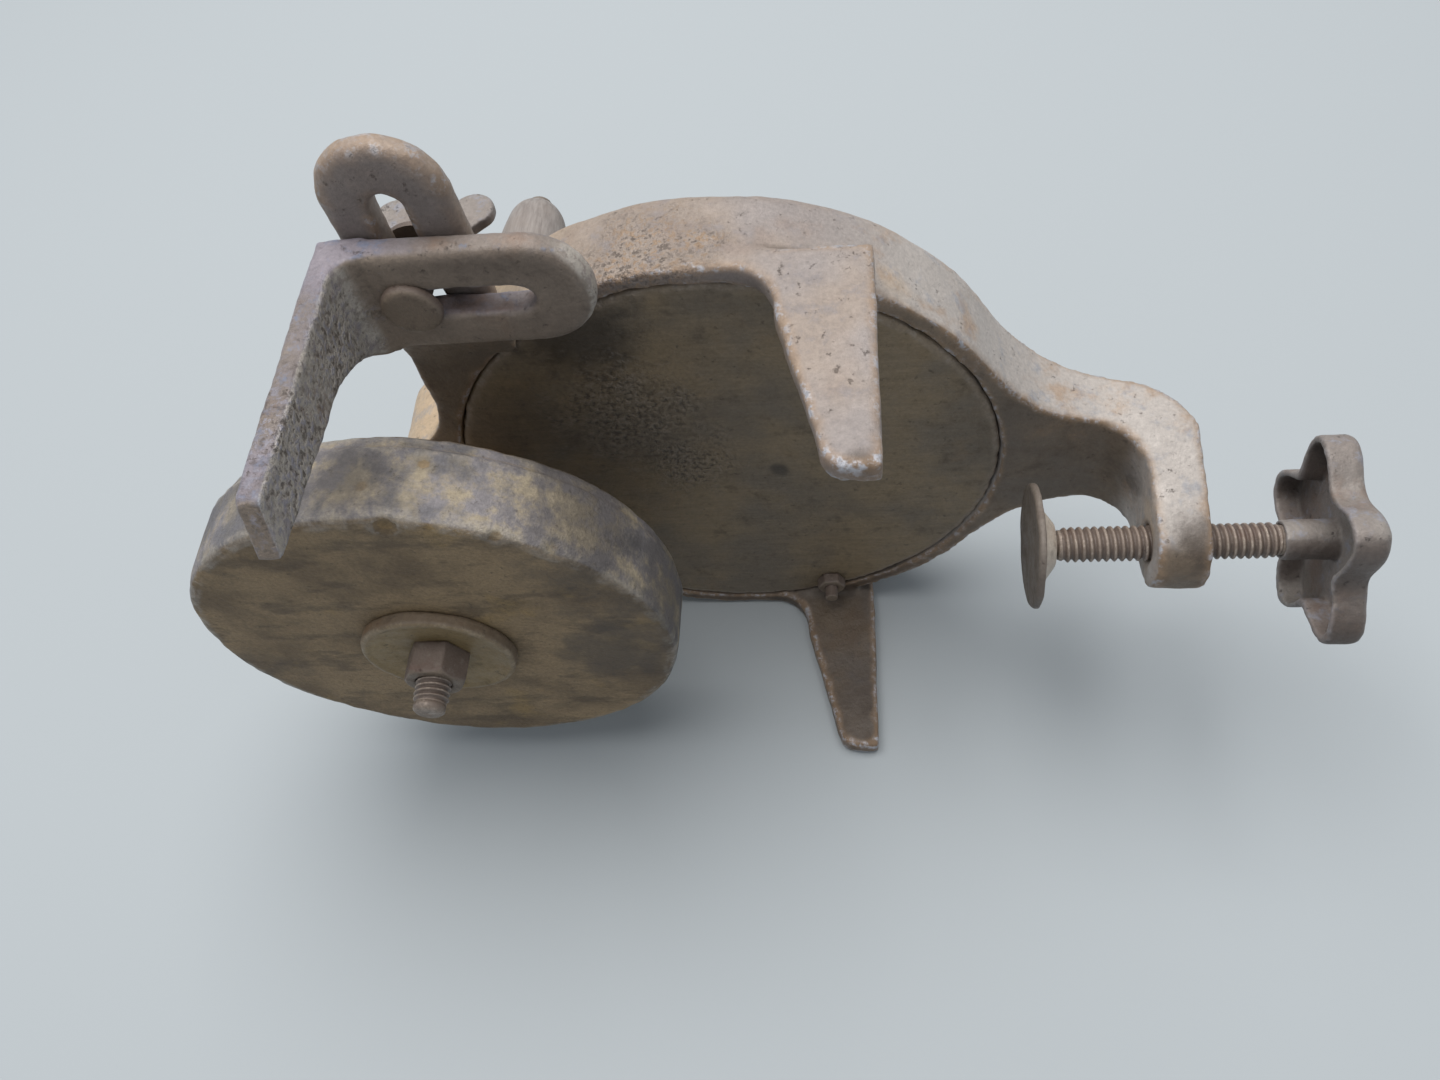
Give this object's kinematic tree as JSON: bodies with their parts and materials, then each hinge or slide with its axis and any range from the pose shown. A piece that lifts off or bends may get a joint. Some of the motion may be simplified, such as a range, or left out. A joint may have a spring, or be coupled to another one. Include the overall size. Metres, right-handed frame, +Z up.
{
  "type": "hand crank bench grinder",
  "caption": "Hand cranked grinder with an enclosed gear case, a grinding wheel on its spindle, a sliding tool rest and a screw clamp that grips the edge of a bench.",
  "frame": {"origin": "middle of the bench edge that the clamp arm's front face meets, at the level of the bench top under the feet", "axes": "+Z up in use; the grinding wheel is on the -Y side over the bench, the crank on the +Y side; the tool rest is on the +X side"},
  "size_m": [0.237, 0.2178, 0.3507],
  "materials": {
    "cast_iron_brown": "aged grey iron casting with brown patina",
    "plain_steel": "turned steel with brown rust",
    "gear_iron": "cut gear teeth, old grease",
    "bearing_bronze": "turned bronze, dull",
    "bush_lead": "cast lead, dull",
    "bonded_stone": "vitrified bonded abrasive, grimy",
    "flange_steel": "turned steel, ochre patina",
    "turned_wood": "weathered turned hardwood"
  },
  "bodies": {
    "frame_body": {"gear_case": "cast_iron_brown", "case_cover": "cast_iron_brown", "cover_studs": "plain_steel", "cover_nuts": "plain_steel", "crank_bush": "bearing_bronze", "spindle_bush_front": "bearing_bronze", "spindle_bush_rear": "cast_iron_brown", "idler_stud": "plain_steel", "idler_stud_nut": "plain_steel"},
    "crank": {"crank_shaft": "plain_steel", "crank_gear": "gear_iron", "gear_key": "plain_steel", "crank_arm": "cast_iron_brown", "crank_washer": "plain_steel", "crank_nut": "plain_steel", "handle_bolt": "plain_steel"},
    "grip": {"handle_grip": "turned_wood"},
    "idler": {"idler_gear": "gear_iron", "idler_pinion": "plain_steel", "idler_bush": "bearing_bronze"},
    "wheel_spindle": {"spindle": "plain_steel", "spindle_pinion": "plain_steel", "pinion_pin": "plain_steel", "inner_flange": "cast_iron_brown", "wheel_bush": "bush_lead", "grinding_wheel": "bonded_stone", "outer_flange": "flange_steel", "wheel_nut": "plain_steel"},
    "pad": {"clamp_pad": "plain_steel"},
    "screw": {"clamp_screw": "plain_steel", "clamp_knob": "cast_iron_brown", "knob_pin": "plain_steel"},
    "rest_carrier": {"rest_washer": "plain_steel"},
    "bolt": {"rest_bolt": "plain_steel"},
    "rest": {"tool_rest": "cast_iron_brown"},
    "lock_nut": {"wing_nut": "cast_iron_brown"}
  },
  "joints": [
    {"name": "crank_turn", "type": "hinge", "parent": "frame_body", "child": "crank", "pos_m": [0, 0.035, 0.0315], "axis": [0, 1, 0], "continuous": true},
    {"name": "idler_turn", "type": "hinge", "parent": "frame_body", "child": "idler", "pos_m": [0, 0.014, 0.087], "axis": [0, 1, 0], "continuous": true},
    {"name": "spindle_turn", "type": "hinge", "parent": "frame_body", "child": "wheel_spindle", "pos_m": [0, 0, 0.13725], "axis": [0, 1, 0], "continuous": true},
    {"name": "grip_turn", "type": "hinge", "parent": "crank", "child": "grip", "pos_m": [0.00589, 0.08, 0.12782], "axis": [0, 1, 0], "continuous": true},
    {"name": "clamp_travel", "type": "slide", "parent": "frame_body", "child": "pad", "axis": [0, 0, 1], "range_m": [-0.027, 0.0215]},
    {"name": "clamp_turn", "type": "hinge", "parent": "pad", "child": "screw", "pos_m": [0, -0.0312, -0.05], "axis": [0, 0, 1], "range_deg": [-4300, 3450]},
    {"name": "rest_cross", "type": "slide", "parent": "frame_body", "child": "rest_carrier", "axis": [1, 0, 0], "range_m": [-0.015, 0.0225]},
    {"name": "rest_swing", "type": "hinge", "parent": "rest_carrier", "child": "bolt", "pos_m": [0.0997, 0, 0.119], "axis": [0, 1, 0], "range_deg": [-10, 10]},
    {"name": "rest_height", "type": "slide", "parent": "bolt", "child": "rest", "axis": [0, 0, 1], "range_m": [0, 0.0275]},
    {"name": "wing_turn", "type": "hinge", "parent": "bolt", "child": "lock_nut", "pos_m": [0.0997, 0.01, 0.119], "axis": [0, 1, 0], "range_deg": [0, 90]}
  ],
  "couplings": [
    {"joint": "idler_turn", "follows": "crank_turn", "ratio": -3.625},
    {"joint": "spindle_turn", "follows": "crank_turn", "ratio": 13.723},
    {"joint": "clamp_turn", "follows": "clamp_travel", "rad_per_m": 2720}
  ]
}
